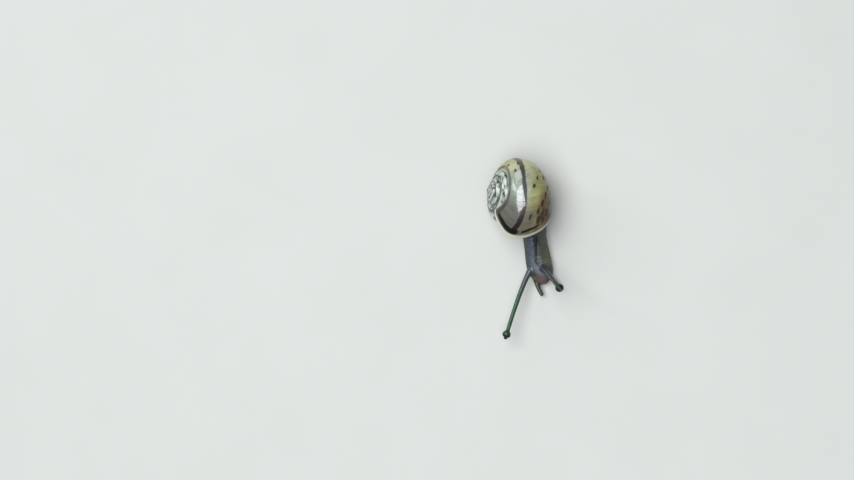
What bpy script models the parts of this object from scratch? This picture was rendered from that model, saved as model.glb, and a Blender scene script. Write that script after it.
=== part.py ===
"""A half-grown banded land snail, life size, crawling with all four feelers out.

The snail faces -Y and its own right side is -X. The sole is flat at Z = 0, and the
origin lies at the middle of the whole animal's box, on the floor. Metres, +Z up.
"""

import math

import bmesh
import bpy
from mathutils import Vector

MM = 0.001
TURN = 2.0 * math.pi
SHARP_ANGLE = math.radians(40)
CUT = 0.1 * MM  # width of the thin cuts that part one node from the next
REACH = 20 * MM  # more than the whole body's reach, for blocks that hold all of it

# Shell: one whorl section that grows along a spiral round the shell's own axis.
# Lengths named as ratios are measured in WHORL_RADIUS, at the lip.
WHORL_RADIUS = 6.87 * MM
WHORL_GROWTH = 1.62  # how much larger each turn is than the one before
WHORL_TURNS = 4.5
SECTION_OFFSET = 0.53
SECTION_DROP = 0.818
SECTION_HALF_WIDTH = 0.44
SECTION_HALF_ABOVE = 0.53
SECTION_HALF_BELOW = 0.64
SECTION_LEAN = math.radians(-24)
BASE_ANGLE = math.radians(-112)  # where the whorl turns in towards the navel
NAVEL_DROP = 1.2
LIP_SLANT = math.radians(43)  # how far the base of the lip lags behind its top
LIP_BULGE = math.radians(5.6)  # how far the middle of the lip runs ahead of its ends
LIP_CLIMB = math.radians(36)  # how far the last suture rises on the turn before
CLIMB_SPREAD = math.radians(80)  # share of the whorl that follows the climb
LIP_FLARE = 0.052  # how much the lip opens out, as a share of the section's size
FLARE_REACH = math.radians(40)  # stretch behind the lip that opens out
LIP_REACH = math.radians(60)  # stretch behind the lip in which it takes this shape
MOUTH_DEPTH = 0.9 * MM  # how far the opening is hollowed into the shell
MOUTH_EDGE = 0.3  # share of the opening's width in which it sinks to that depth
APEX_DOME = 0.03 * MM  # how far the very tip of the spire stands out
APEX = Vector((-5.01, 0.74, 7.74)) * MM
AXIS_RISE = math.radians(32.4)
AXIS_SWEEP = math.radians(17.7)
LIP_TURN = math.radians(12.9)
ROWS_PER_TURN = 36
SPIRE_COLUMNS = 5
WALL_COLUMNS = 17

# Foot, neck and head, as stations along the body from the tail to the mouth:
# place along the body, half width, height, lift off the floor and shift towards
# the snail's left, in millimetres.
BODY_STATIONS = (
    (5.3, 0.22, 0.16, 0.0, 0.0),
    (4.9, 0.55, 0.38, 0.0, 0.0),
    (3.8, 1.02, 0.75, 0.0, 0.0),
    (2.2, 1.55, 1.15, 0.0, 0.0),
    (0.0, 2.05, 1.6, 0.0, 0.0),
    (-2.5, 2.3, 2.4, 0.0, 0.0),
    (-4.6, 2.0, 3.6, 0.0, 0.0),
    (-6.0, 1.76, 4.3, 0.0, 0.0),
    (-7.0, 1.76, 4.15, 0.0, 0.0),
    (-8.2, 1.8, 3.55, 0.0, 0.02),
    (-9.4, 1.9, 3.0, 0.0, 0.05),
    (-10.6, 1.94, 2.7, 0.0, 0.1),
    (-11.4, 1.86, 2.6, 0.0, 0.15),
    (-12.1, 1.6, 2.3, 0.05, 0.22),
    (-12.7, 1.18, 1.75, 0.25, 0.22),
    (-13.1, 0.88, 1.25, 0.4, 0.22),
    (-13.35, 0.55, 0.75, 0.6, 0.22),
)
BODY_POINTS = 22
BACK_ROUNDNESS = 0.9  # powers that make a section domed above and squarish below
SOLE_ROUNDNESS = 0.5
BACK_TAPER = 0.18  # how much narrower a section is at full height than at the sole
BACK_TAPER_HEIGHT = 4.0 * MM
SOLE_TRIM = 0.1 * MM
STALK_CENTRE = Vector((0.0, -3.3, 0.9)) * MM
STALK_HALF_LENGTH = 3.3 * MM
STALK_HALF_WIDTH = 1.9 * MM
STALK_INSET = 0.16
STALK_RISE = 0.6 * MM
SHELL_CLEARANCE = 0.16 * MM

# Where the thin cuts cross the body, along Y.
TAIL_CUT = 1.6 * MM
NECK_CUT = -7.2 * MM
HEAD_CUT = -10.4 * MM
MOUTH_CUT = -12.55 * MM
COLLAR_BACK = -1.0 * MM
COLLAR_DEPTH = 1.5 * MM  # height of the mantle collar below the lip

# Feelers: root, bend and tip in millimetres, then the radii along the shaft.
UPPER_RIGHT_PATH = ((-0.9, -10.9, 1.9), (-2.3, -12.4, 2.35), (-5.56, -20.15, 3.6))
UPPER_LEFT_PATH = ((0.6, -10.9, 1.9), (1.43, -11.8, 3.6), (3.65, -14.98, 7.7))
LOWER_RIGHT_PATH = ((-0.9, -11.35, 1.25), (-0.84, -12.85, 1.2), (-0.09, -14.78, 1.0))
LOWER_LEFT_PATH = ((1.0, -11.5, 1.25), (1.75, -12.9, 1.1), (2.67, -14.3, 1.0))
UPPER_ROOT_RADIUS = 0.52 * MM
UPPER_SHAFT_RADIUS = 0.4 * MM
UPPER_END_RADIUS = 0.3 * MM
KNOB_RADIUS = 0.62 * MM
LOWER_ROOT_RADIUS = 0.42 * MM
LOWER_SHAFT_RADIUS = 0.29 * MM
LOWER_END_RADIUS = 0.3 * MM
EYE_RADIUS = 0.3 * MM
EYE_SINK = 0.14 * MM  # how far the eye stands out of its knob
FEELER_RINGS = 12
FEELER_ROUNDNESS = 4
ROOT_SHARE = 0.29  # share of a feeler's length in which its root narrows
SOCKET_REACH = 0.6  # share of a feeler's length that its socket holds
TIP_SWELL = 1.05  # a lower feeler's rounded tip against its end radius
BALL_SEGMENTS = 16
BALL_RINGS = 10

COLOURS = {
    "shell": ((0.36, 0.33, 0.16), 0.25),
    "mantle": ((0.2, 0.19, 0.15), 0.4),
    "skin": ((0.13, 0.14, 0.12), 0.45),
    "skin_dark": ((0.08, 0.1, 0.08), 0.45),
    "eye": ((0.01, 0.01, 0.01), 0.15),
}


def clear_scene():
    for obj in list(bpy.data.objects):
        bpy.data.objects.remove(obj, do_unlink=True)


def new_collection(name):
    collection = bpy.data.collections.new(name)
    bpy.context.scene.collection.children.link(collection)
    return collection


def new_material(name):
    colour, roughness = COLOURS[name]
    material = bpy.data.materials.new(name)
    material.use_nodes = True
    shader = material.node_tree.nodes["Principled BSDF"]
    shader.inputs["Base Color"].default_value = (*colour, 1.0)
    shader.inputs["Roughness"].default_value = roughness
    shader.inputs["Metallic"].default_value = 0.0
    return material


def object_from_bmesh(name, shape, collection):
    bmesh.ops.recalc_face_normals(shape, faces=shape.faces)
    mesh = bpy.data.meshes.new(name)
    shape.to_mesh(mesh)
    shape.free()
    obj = bpy.data.objects.new(name, mesh)
    collection.objects.link(obj)
    return obj


def finish_node(obj, material):
    obj.data.materials.clear()
    obj.data.materials.append(material)
    obj.data.shade_smooth()
    obj.data.set_sharp_from_angle(angle=SHARP_ANGLE)
    return obj


def make_cutter(obj):
    obj.hide_render = True
    obj.display_type = "WIRE"
    return obj


def boolean(obj, other, operation):
    modifier = obj.modifiers.new(operation.title() + " " + other.name, "BOOLEAN")
    modifier.operation = operation
    modifier.solver = "EXACT"
    modifier.object = other


def apply_modifiers(obj):
    graph = bpy.context.evaluated_depsgraph_get()
    mesh = bpy.data.meshes.new_from_object(obj.evaluated_get(graph))
    obj.modifiers.clear()
    obj.data = mesh


# ---------------------------------------------------------------- shell


def shell_axes():
    """The shell's axis towards the apex, the direction of the lip, and the third."""
    axis = Vector(
        (
            -math.cos(AXIS_RISE) * math.cos(AXIS_SWEEP),
            math.cos(AXIS_RISE) * math.sin(AXIS_SWEEP),
            math.sin(AXIS_RISE),
        )
    )
    forward = Vector((0.0, -1.0, 0.0))
    forward = (forward - axis * forward.dot(axis)).normalized()
    side = axis.cross(forward)
    towards_lip = forward * math.cos(LIP_TURN) + side * math.sin(LIP_TURN)
    return axis, towards_lip, axis.cross(towards_lip)


def section_half_height(sine):
    return SECTION_HALF_ABOVE if sine > 0 else SECTION_HALF_BELOW


def whorl_section(around):
    """Distance from the axis and height along it, as ratios, at one angle."""
    wide = SECTION_HALF_WIDTH * math.cos(around)
    high = section_half_height(math.sin(around)) * math.sin(around)
    out = SECTION_OFFSET + wide * math.cos(SECTION_LEAN) - high * math.sin(SECTION_LEAN)
    up = wide * math.sin(SECTION_LEAN) + high * math.cos(SECTION_LEAN) - SECTION_DROP
    return out, up


def section_place(out, up):
    """How far round the whorl a point lies, and whether it is outside the whorl."""
    out -= SECTION_OFFSET
    up += SECTION_DROP
    wide = out * math.cos(SECTION_LEAN) + up * math.sin(SECTION_LEAN)
    high = up * math.cos(SECTION_LEAN) - out * math.sin(SECTION_LEAN)
    wide /= SECTION_HALF_WIDTH
    high /= section_half_height(high)
    return math.atan2(high, wide), math.hypot(wide, high) > 1.0


def suture_angles():
    """The angles at which a whorl meets the turn before it and the turn after it."""
    inside, outside = 0.0, math.radians(150)
    for _ in range(60):
        middle = (inside + outside) / 2
        out, up = whorl_section(middle)
        if section_place(out / WHORL_GROWTH, up / WHORL_GROWTH)[1]:
            outside = middle
        else:
            inside = middle
    out, up = whorl_section(inside)
    return section_place(out / WHORL_GROWTH, up / WHORL_GROWTH)[0], inside


def smooth_step(value):
    value = min(max(value, 0.0), 1.0)
    return value * value * (3.0 - 2.0 * value)


def shell_point(axes, growth, out, up):
    """A point of the spiral: growth is an angle, 0 at the lip and negative before."""
    axis, towards_lip, side = axes
    size = WHORL_RADIUS * WHORL_GROWTH ** (growth / TURN)
    ray = towards_lip * math.cos(growth) - side * math.sin(growth)
    return APEX + (ray * out + axis * up) * size


def lip_share(growth):
    """How near a row is to the lip, from 0 where the lip's shape begins to 1 at it."""
    return smooth_step(1.0 + growth / LIP_REACH)


def lip_lag(growth, around, top, suture):
    """How far a point lags behind its row: the base slants back, the middle leads."""
    slant = LIP_SLANT * max((suture - around) / (suture - BASE_ANGLE), 0.0)
    bulge = math.sin(math.pi * min((top - around) / (top - BASE_ANGLE), 1.0))
    return slant - LIP_BULGE * bulge * lip_share(growth)


def climb_shift(axes, growth, top, suture):
    """How far the whorl's upper edge moves as it climbs the turn before."""
    climbed = suture + LIP_CLIMB * lip_share(growth)
    before = shell_point(axes, growth - TURN, *whorl_section(climbed))
    return before - shell_point(axes, growth, *whorl_section(top))


def flared_section(growth, around, top):
    """The whorl section, opened out a little where the shell ends in its lip."""
    out, up = whorl_section(around)
    free = smooth_step((top - around) / CLIMB_SPREAD)
    flare = LIP_FLARE * free * smooth_step(1.0 + growth / FLARE_REACH)
    return out + (out - SECTION_OFFSET) * flare, up + (up + SECTION_DROP) * flare


def whorl_point(axes, growth, around, top, suture):
    """A point of the last turn, with the slant, bulge and climb near its lip."""
    lagging = growth - lip_lag(growth, around, top, suture)
    hold = smooth_step((around - top + CLIMB_SPREAD) / CLIMB_SPREAD)
    shift = climb_shift(axes, growth, top, suture) * hold
    return shell_point(axes, lagging, *flared_section(growth, around, top)) + shift


def spread(first, last, count):
    return [first + (last - first) * i / count for i in range(count + 1)]


def spire_row(shape, axes, growth, top, suture, shared):
    """A row of an early turn: bare from its upper edge to the edge of the next turn."""
    low = suture + LIP_CLIMB * lip_share(growth + TURN)
    angles = spread(top, low, SPIRE_COLUMNS)
    points = [shell_point(axes, growth, *whorl_section(angle)) for angle in angles[:-1]]
    return [shape.verts.new(point) for point in points] + [shared]


def last_turn_row(shape, axes, growth, top, suture):
    """A row of the last turn: from its suture round the base and in to the navel."""
    angles = spread(top, suture, SPIRE_COLUMNS)
    angles += spread(suture, BASE_ANGLE, WALL_COLUMNS)[1:]
    points = [whorl_point(axes, growth, angle, top, suture) for angle in angles]
    row = [shape.verts.new(point) for point in points]
    lagging = growth - lip_lag(growth, BASE_ANGLE, top, suture)
    row.append(shape.verts.new(shell_point(axes, lagging, 0.0, -NAVEL_DROP)))
    return row


def shell_rows(shape, axes, top, suture):
    """All rows from the lip back to the apex. A bare row ends on the next turn's edge."""
    rows = {}
    for row in range(0, -round(WHORL_TURNS * ROWS_PER_TURN) - 1, -1):
        growth = TURN * row / ROWS_PER_TURN
        if row > -ROWS_PER_TURN:
            rows[row] = last_turn_row(shape, axes, growth, top, suture)
            continue
        shared = rows[row + ROWS_PER_TURN][0]
        rows[row] = spire_row(shape, axes, growth, top, suture, shared)
    start = last_turn_row(shape, axes, -TURN, top, suture)
    for vert in start[:SPIRE_COLUMNS + 1]:
        shape.verts.remove(vert)
    rows[-ROWS_PER_TURN] += start[SPIRE_COLUMNS + 1:]
    return rows


def bridge_rows(shape, rows):
    for row in sorted(rows)[1:]:
        before, after = rows[row - 1], rows[row]
        for i in range(min(len(before), len(after)) - 1):
            shape.faces.new((before[i], before[i + 1], after[i + 1], after[i]))


def fan(shape, loop, middle):
    centre = shape.verts.new(middle)
    for first, second in zip(loop, loop[1:] + loop[:1]):
        shape.faces.new((first, second, centre))


def apex_loop(rows):
    first = min(rows)
    loop = [rows[row][0] for row in range(first, first + ROWS_PER_TURN + 1)]
    return loop + list(reversed(rows[first][1:-1]))


def across_mouth(shape, axes, near, far, depth):
    """Points from the lip to the wall opposite, sunk a little into the shell."""
    inward = axes[0].cross(near.co - APEX).normalized()
    points = [near]
    for share in (MOUTH_EDGE, 1.0 - MOUTH_EDGE):
        sunk = near.co.lerp(far.co, share) + inward * depth
        points.append(shape.verts.new(sunk))
    return points + [far]


def close_mouth(shape, axes, rows):
    """Spans the opening from the lip to the wall of the turn before."""
    lip, wall = rows[0], rows[-ROWS_PER_TURN]
    corner = lip[0]
    first = SPIRE_COLUMNS + 1
    last = len(lip) - 2
    strips = []
    for i in range(first, last + 1):
        depth = MOUTH_DEPTH * math.sin(math.pi * (i - first) / (last - first))
        strips.append(across_mouth(shape, axes, lip[i], wall[i], depth))
    for before, after in zip(strips, strips[1:]):
        for i in range(3):
            shape.faces.new((before[i], before[i + 1], after[i + 1], after[i]))
    side = strips[0]
    rim = lip[1:first] + side
    for near, far in zip(rim, rim[1:]):
        shape.faces.new((corner, near, far))
    navel = [rows[-row][-1] for row in range(ROWS_PER_TURN + 1)]
    end = strips[-1]
    middle = ROWS_PER_TURN // 2
    pivot = end[1]
    shape.faces.new((end[0], pivot, navel[0]))
    for near, far in zip(navel[:middle], navel[1:middle + 1]):
        shape.faces.new((pivot, far, near))
    pivot = end[2]
    shape.faces.new((end[1], pivot, navel[middle]))
    for near, far in zip(navel[middle:], navel[middle + 1:]):
        shape.faces.new((pivot, far, near))
    shape.faces.new((end[2], end[3], navel[-1]))


def build_shell(collection):
    """The whole shell as one solid, hollowed a little where the body comes out."""
    axes = shell_axes()
    top, suture = suture_angles()
    shape = bmesh.new()
    rows = shell_rows(shape, axes, top, suture)
    bridge_rows(shape, rows)
    loop = apex_loop(rows)
    middle = sum((vert.co for vert in loop), Vector()) / len(loop)
    fan(shape, loop, middle + axes[0] * APEX_DOME)
    lip = [vert.co.copy() for vert in rows[0]]
    close_mouth(shape, axes, rows)
    return object_from_bmesh("shell", shape, collection), lip


def roomier_copy(obj, amount, name, collection):
    """A copy a little larger about its middle, used to clear room round the original."""
    shape = bmesh.new()
    shape.from_mesh(obj.data)
    middle = sum((vert.co for vert in shape.verts), Vector()) / len(shape.verts)
    reach = max((vert.co - middle).length for vert in shape.verts)
    for vert in shape.verts:
        vert.co = middle + (vert.co - middle) * (1.0 + amount / reach)
    return make_cutter(object_from_bmesh(name, shape, collection))


def lowered_copy(obj, amount, name, collection):
    copy = bpy.data.objects.new(name, obj.data.copy())
    collection.objects.link(copy)
    for vert in copy.data.vertices:
        vert.co.z -= amount
    return make_cutter(copy)


# ---------------------------------------------------------------- flesh


def body_ring(place, half_width, height, lift, aside):
    """One cross-section of the body: domed above, squarish below, flat on the floor."""
    ring = []
    for i in range(BODY_POINTS):
        turn = TURN * i / BODY_POINTS
        wide, high = math.cos(turn), math.sin(turn)
        power = BACK_ROUNDNESS if high > 0 else SOLE_ROUNDNESS
        across = math.copysign(abs(wide) ** power, wide) * half_width
        rise = height / 2 * (1 + math.copysign(abs(high) ** power, high))
        rise = max(rise - SOLE_TRIM, 0.0)
        across *= 1.0 - BACK_TAPER * smooth_step(rise / BACK_TAPER_HEIGHT)
        ring.append(Vector((across + aside, place, rise + max(lift, 0.0))))
    return ring


def spline(values, share):
    """A smooth curve through evenly spaced values, share running from 0 to 1."""
    last = len(values) - 1
    place = min(share * last, last - 1e-9)
    i = int(place)
    t = place - i
    a, b = values[max(i - 1, 0)], values[i]
    c, d = values[i + 1], values[min(i + 2, last)]
    return 0.5 * (2 * b + (c - a) * t + (2 * a - 5 * b + 4 * c - d) * t * t
                  + (3 * b - a - 3 * c + d) * t ** 3)


def loft(rings, name, collection):
    shape = bmesh.new()
    loops = [[shape.verts.new(point) for point in ring] for ring in rings]
    for before, after in zip(loops, loops[1:]):
        for i in range(len(before)):
            j = (i + 1) % len(before)
            shape.faces.new((before[i], before[j], after[j], after[i]))
    shape.faces.new(loops[0])
    shape.faces.new(loops[-1])
    bmesh.ops.remove_doubles(shape, verts=shape.verts, dist=1e-6)
    return object_from_bmesh(name, shape, collection)


def build_body(collection):
    """Foot, neck and head in one length, from the tail's tip to the mouth."""
    columns = list(zip(*BODY_STATIONS))
    count = 2 * (len(BODY_STATIONS) - 1)
    rings = []
    for i in range(count + 1):
        sizes = [spline(column, i / count) * MM for column in columns]
        rings.append(body_ring(*sizes))
    return loft(rings, "body", collection)


def build_stalk(lip, collection):
    """The mass of flesh that rises from the foot into the shell's mouth."""
    rim = lip[SPIRE_COLUMNS:]
    middle = sum(rim, Vector()) / len(rim)
    shape = bmesh.new()
    for point in rim:
        inset = point.lerp(middle, STALK_INSET)
        shape.verts.new(inset + Vector((0.0, 0.0, STALK_RISE)))
    for i in range(BODY_POINTS):
        turn = TURN * i / BODY_POINTS
        across = STALK_HALF_WIDTH * math.cos(turn)
        along = STALK_HALF_LENGTH * math.sin(turn)
        shape.verts.new(STALK_CENTRE + Vector((across, along, 0.0)))
    hull = bmesh.ops.convex_hull(shape, input=shape.verts)
    unused = [item for item in hull["geom_interior"] if isinstance(item, bmesh.types.BMVert)]
    bmesh.ops.delete(shape, geom=unused, context="VERTS")
    return object_from_bmesh("stalk", shape, collection)


def box_between(name, low, high, collection):
    shape = bmesh.new()
    bmesh.ops.create_cube(shape, size=1.0)
    for vert in shape.verts:
        vert.co = Vector(
            (a if side < 0 else b) for a, b, side in zip(low, high, vert.co)
        )
    return make_cutter(object_from_bmesh(name, shape, collection))


def slab(name, first, second, collection):
    """A block that holds all of the body between two places along Y."""
    low = (-REACH, first, -REACH)
    high = (REACH, second, REACH)
    return box_between(name, low, high, collection)


def collar_cell(name, lip, shift, collection):
    """A block above a sloping plane that lies a little below the shell's mouth."""
    rim = lip[SPIRE_COLUMNS:]
    middle = sum(rim, Vector()) / len(rim)
    across = (rim[-1] - rim[0]).normalized()
    along = (rim[len(rim) // 3] - middle)
    along = (along - across * along.dot(across)).normalized()
    upward = across.cross(along)
    if upward.z < 0:
        upward.negate()
    cell = box_between(name, (-REACH, -REACH, 0.0), (REACH, REACH, REACH), collection)
    turn = upward.to_track_quat("Z", "Y").to_matrix()
    start = middle - upward * (COLLAR_DEPTH + shift)
    for vert in cell.data.vertices:
        vert.co = turn @ vert.co + start
    reach = slab(name + "_reach", -REACH, COLLAR_BACK + shift, collection)
    boolean(cell, reach, "INTERSECT")
    return cell


def flesh_node(name, flesh, cell, material, collection):
    obj = bpy.data.objects.new(name, flesh.data.copy())
    collection.objects.link(obj)
    boolean(obj, cell, "INTERSECT")
    return finish_node(obj, material)


# ---------------------------------------------------------------- feelers


def path_point(path, share):
    """A point on the curve that leaves the root for the bend and ends at the tip."""
    root, bend, tip = (Vector(point) * MM for point in path)
    away = 1.0 - share
    return root * away * away + bend * 2 * away * share + tip * share * share


def shaft_radius(radii, share):
    """Wide where it leaves the head, then a long taper towards the knob."""
    root, middle, end = radii
    flare = (root - middle) * (1.0 - smooth_step(share / ROOT_SHARE))
    return middle + flare + (end - middle) * smooth_step(share)


def mesh_from_curve(name, curve, collection):
    """Turns a round curve with filled caps into one closed mesh object."""
    drawn = bpy.data.objects.new(name + "_curve", curve)
    collection.objects.link(drawn)
    graph = bpy.context.evaluated_depsgraph_get()
    mesh = bpy.data.meshes.new_from_object(drawn.evaluated_get(graph))
    bpy.data.objects.remove(drawn, do_unlink=True)
    shape = bmesh.new()
    shape.from_mesh(mesh)
    bmesh.ops.remove_doubles(shape, verts=shape.verts, dist=1e-7)
    return object_from_bmesh(name, shape, collection)


def build_shaft(name, path, radii, reach, grow, collection):
    """The feeler's shaft as a tapered tube, as far as reach along its path."""
    curve = bpy.data.curves.new(name, "CURVE")
    curve.dimensions = "3D"
    curve.bevel_depth = 1.0 * MM
    curve.bevel_resolution = FEELER_ROUNDNESS
    curve.use_fill_caps = True
    line = curve.splines.new("POLY")
    line.points.add(FEELER_RINGS)
    for i, point in enumerate(line.points):
        share = reach * i / FEELER_RINGS
        start = -grow if i == 0 else 0.0
        ahead = (path_point(path, share + 0.01) - path_point(path, share)).normalized()
        place = path_point(path, share) + ahead * start
        point.co = (*place, 1.0)
        point.radius = (shaft_radius(radii, share) + grow) / curve.bevel_depth
    return mesh_from_curve(name, curve, collection)


def build_feeler(name, path, radii, knob, nodes, cutters):
    """A shaft that ends in a ball: large on an upper feeler, its own width on a lower."""
    feeler = build_shaft(name, path, radii, 1.0, 0.0, nodes)
    end = make_cutter(ball(name + "_knob", path_point(path, 1.0), knob, cutters))
    boolean(feeler, end, "UNION")
    return feeler


def build_socket(name, path, radii, collection):
    """The feeler's root a cut's width larger, to make room for it in the head."""
    return make_cutter(build_shaft(name, path, radii, SOCKET_REACH, CUT, collection))


def ball(name, centre, radius, collection):
    shape = bmesh.new()
    bmesh.ops.create_uvsphere(
        shape, u_segments=BALL_SEGMENTS, v_segments=BALL_RINGS, radius=radius
    )
    bmesh.ops.translate(shape, verts=shape.verts, vec=centre)
    return object_from_bmesh(name, shape, collection)


def eye_place(path):
    ahead = (path_point(path, 1.0) - path_point(path, 0.98)).normalized()
    return path_point(path, 1.0) + ahead * (KNOB_RADIUS + EYE_SINK - EYE_RADIUS)


# ---------------------------------------------------------------- whole animal


def build_flesh_nodes(nodes, cutters, materials, shell, lip):
    body = build_body(cutters)
    stalk = make_cutter(build_stalk(lip, cutters))
    boolean(body, stalk, "UNION")
    boolean(body, roomier_copy(shell, SHELL_CLEARANCE, "shell_room", cutters), "DIFFERENCE")
    boolean(body, lowered_copy(shell, CUT, "shell_room_below", cutters), "DIFFERENCE")
    apply_modifiers(body)
    make_cutter(body)
    half = CUT / 2
    spans = (
        ("tail", TAIL_CUT + half, REACH, "skin"),
        ("foot", NECK_CUT + half, TAIL_CUT - half, "skin"),
        ("neck", HEAD_CUT + half, NECK_CUT - half, "skin"),
        ("head", MOUTH_CUT + half, HEAD_CUT - half, "skin"),
        ("mouth", -REACH, MOUTH_CUT - half, "skin"),
    )
    made = {}
    for name, first, second, finish in spans:
        cell = slab(name + "_cell", first, second, cutters)
        made[name] = flesh_node(name, body, cell, materials[finish], nodes)
    collar = collar_cell("mantle_collar_cell", lip, -CUT / 2, cutters)
    made["mantle_collar"] = flesh_node("mantle_collar", body, collar, materials["mantle"], nodes)
    below = collar_cell("below_mantle", lip, CUT / 2, cutters)
    for name in ("foot", "neck"):
        boolean(made[name], below, "DIFFERENCE")
    return made


def build_feelers(nodes, cutters, materials, flesh):
    upper = (UPPER_ROOT_RADIUS, UPPER_SHAFT_RADIUS, UPPER_END_RADIUS)
    lower = (LOWER_ROOT_RADIUS, LOWER_SHAFT_RADIUS, LOWER_END_RADIUS)
    feelers = (
        ("upper_feeler_right", UPPER_RIGHT_PATH, upper, KNOB_RADIUS, "eye_right"),
        ("upper_feeler_left", UPPER_LEFT_PATH, upper, KNOB_RADIUS, "eye_left"),
        ("lower_feeler_right", LOWER_RIGHT_PATH, lower, LOWER_END_RADIUS * TIP_SWELL, None),
        ("lower_feeler_left", LOWER_LEFT_PATH, lower, LOWER_END_RADIUS * TIP_SWELL, None),
    )
    for name, path, radii, knob, eye in feelers:
        feeler = build_feeler(name, path, radii, knob, nodes, cutters)
        finish_node(feeler, materials["skin_dark"])
        socket = build_socket(name + "_socket", path, radii, cutters)
        for part in ("head", "mouth"):
            boolean(flesh[part], socket, "DIFFERENCE")
        if eye:
            place = eye_place(path)
            finish_node(ball(eye, place, EYE_RADIUS, nodes), materials["eye"])
            room = make_cutter(ball(eye + "_socket", place, EYE_RADIUS + CUT / 2, cutters))
            boolean(feeler, room, "DIFFERENCE")


def move_to_origin(nodes, cutters):
    """Puts the middle of the whole animal's box over the origin."""
    graph = bpy.context.evaluated_depsgraph_get()
    points = []
    for obj in nodes.objects:
        mesh = obj.evaluated_get(graph).to_mesh()
        points.extend(vert.co.copy() for vert in mesh.vertices)
        obj.evaluated_get(graph).to_mesh_clear()
    lows = [min(point[i] for point in points) for i in range(2)]
    highs = [max(point[i] for point in points) for i in range(2)]
    shift = Vector((-(lows[0] + highs[0]) / 2, -(lows[1] + highs[1]) / 2, 0.0))
    for obj in list(nodes.objects) + list(cutters.objects):
        for vert in obj.data.vertices:
            vert.co += shift


def main():
    clear_scene()
    nodes = new_collection("banded_snail")
    cutters = new_collection("cutters")
    materials = {name: new_material(name) for name in COLOURS}
    shell, lip = build_shell(nodes)
    finish_node(shell, materials["shell"])
    flesh = build_flesh_nodes(nodes, cutters, materials, shell, lip)
    build_feelers(nodes, cutters, materials, flesh)
    move_to_origin(nodes, cutters)


main()
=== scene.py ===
"""A half-grown banded land snail, life size: its moist skin, glossy shell and eyes.

The snail faces -Y, its own left side is +X and its sole lies on Z = 0. Metres.
"""

import math

import bmesh
import bpy
import numpy as np
from mathutils import Matrix, Vector, noise
from mathutils.bvhtree import BVHTree
from mathutils.kdtree import KDTree


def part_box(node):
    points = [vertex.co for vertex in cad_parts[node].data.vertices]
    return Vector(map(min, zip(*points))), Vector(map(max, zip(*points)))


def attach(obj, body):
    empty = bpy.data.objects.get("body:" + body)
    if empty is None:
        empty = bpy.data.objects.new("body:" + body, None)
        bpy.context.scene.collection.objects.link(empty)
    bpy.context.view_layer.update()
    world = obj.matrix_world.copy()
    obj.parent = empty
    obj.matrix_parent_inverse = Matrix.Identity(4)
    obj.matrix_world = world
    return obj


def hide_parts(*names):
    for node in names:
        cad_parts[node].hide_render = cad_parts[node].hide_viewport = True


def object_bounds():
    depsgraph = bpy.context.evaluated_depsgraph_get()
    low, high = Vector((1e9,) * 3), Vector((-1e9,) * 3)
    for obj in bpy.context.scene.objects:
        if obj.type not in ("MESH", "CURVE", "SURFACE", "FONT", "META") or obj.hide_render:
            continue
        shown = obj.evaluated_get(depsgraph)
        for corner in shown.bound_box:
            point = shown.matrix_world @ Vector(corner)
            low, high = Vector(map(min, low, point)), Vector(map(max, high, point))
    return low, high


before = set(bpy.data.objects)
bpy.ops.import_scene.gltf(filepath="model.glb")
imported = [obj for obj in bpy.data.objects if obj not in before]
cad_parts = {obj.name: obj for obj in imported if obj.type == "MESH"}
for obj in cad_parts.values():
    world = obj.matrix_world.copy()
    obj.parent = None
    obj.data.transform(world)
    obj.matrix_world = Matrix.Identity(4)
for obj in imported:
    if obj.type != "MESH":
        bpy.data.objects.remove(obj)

CAD_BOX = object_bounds()
MM = 0.001
TURN = 2.0 * math.pi
MIDDLE = (Vector(CAD_BOX[0]) + Vector(CAD_BOX[1])) / 2

# Camera: it looks down on the back from a little to the snail's left and front.
VIEW_DISTANCE = 300 * MM
VIEW_TILT = math.radians(12)
VIEW_LEAN = math.radians(8)
VIEW_ROLL = math.radians(7)
VIEW_LENS = 86.6
VIEW_AIM = Vector((-14.0, 2.7, 1.1)) * MM  # from the middle of the whole animal

# Shell: one whorl section that grows along a spiral. Ratios are of WHORL_RADIUS.
APEX = Vector(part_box("shell")[0]) + Vector((0.865, 7.76, 6.6)) * MM
AXIS_RISE = math.radians(32.4)
AXIS_SWEEP = math.radians(17.7)
LIP_TURN = math.radians(12.9)
WHORL_RADIUS = 6.87 * MM
WHORL_GROWTH = 1.62
WHORL_TURNS = 7.2
SECTION_OFFSET = 0.53
SECTION_DROP = 0.818
SECTION_HALF_WIDTH = 0.44
SECTION_HALF_ABOVE = 0.53
SECTION_HALF_BELOW = 0.64
SECTION_LEAN = math.radians(-24)
SUTURE_ANGLE = math.radians(59.7)  # where the next turn's upper edge lies on a whorl
TOP_ANGLE = math.radians(113.5)  # where a whorl meets the turn before it
BASE_ANGLE = math.radians(-112)
NAVEL_DROP = 1.2
NAVEL_SHARE = 0.95  # share of the wall's width at which it turns in to the navel
LIP_SLANT = math.radians(43)
LIP_BULGE = math.radians(5.6)
LIP_CLIMB = math.radians(36)
CLIMB_SPREAD = math.radians(80)
LIP_REACH = math.radians(60)
LIP_FLARE = 0.052
FLARE_REACH = math.radians(40)
WALL = 0.14 * MM
RIM_ROUNDING = 0.045 * MM
SHELL_ROWS = 660
SHELL_COLUMNS = 52
FINE_TURNS = 1.9  # how many turns the evenly spaced rows would cover
NUCLEUS_DROP = 0.2
NUCLEUS_TURNS = 0.7  # the first whorl starts from a point over this much growth
RIDGE_DEPTH = 0.016 * MM


def only(*objects):
    """Leaves just these objects selected, the first one active."""
    bpy.ops.object.select_all(action="DESELECT")
    for obj in objects:
        obj.select_set(True)
    bpy.context.view_layer.objects.active = objects[0]


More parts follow.
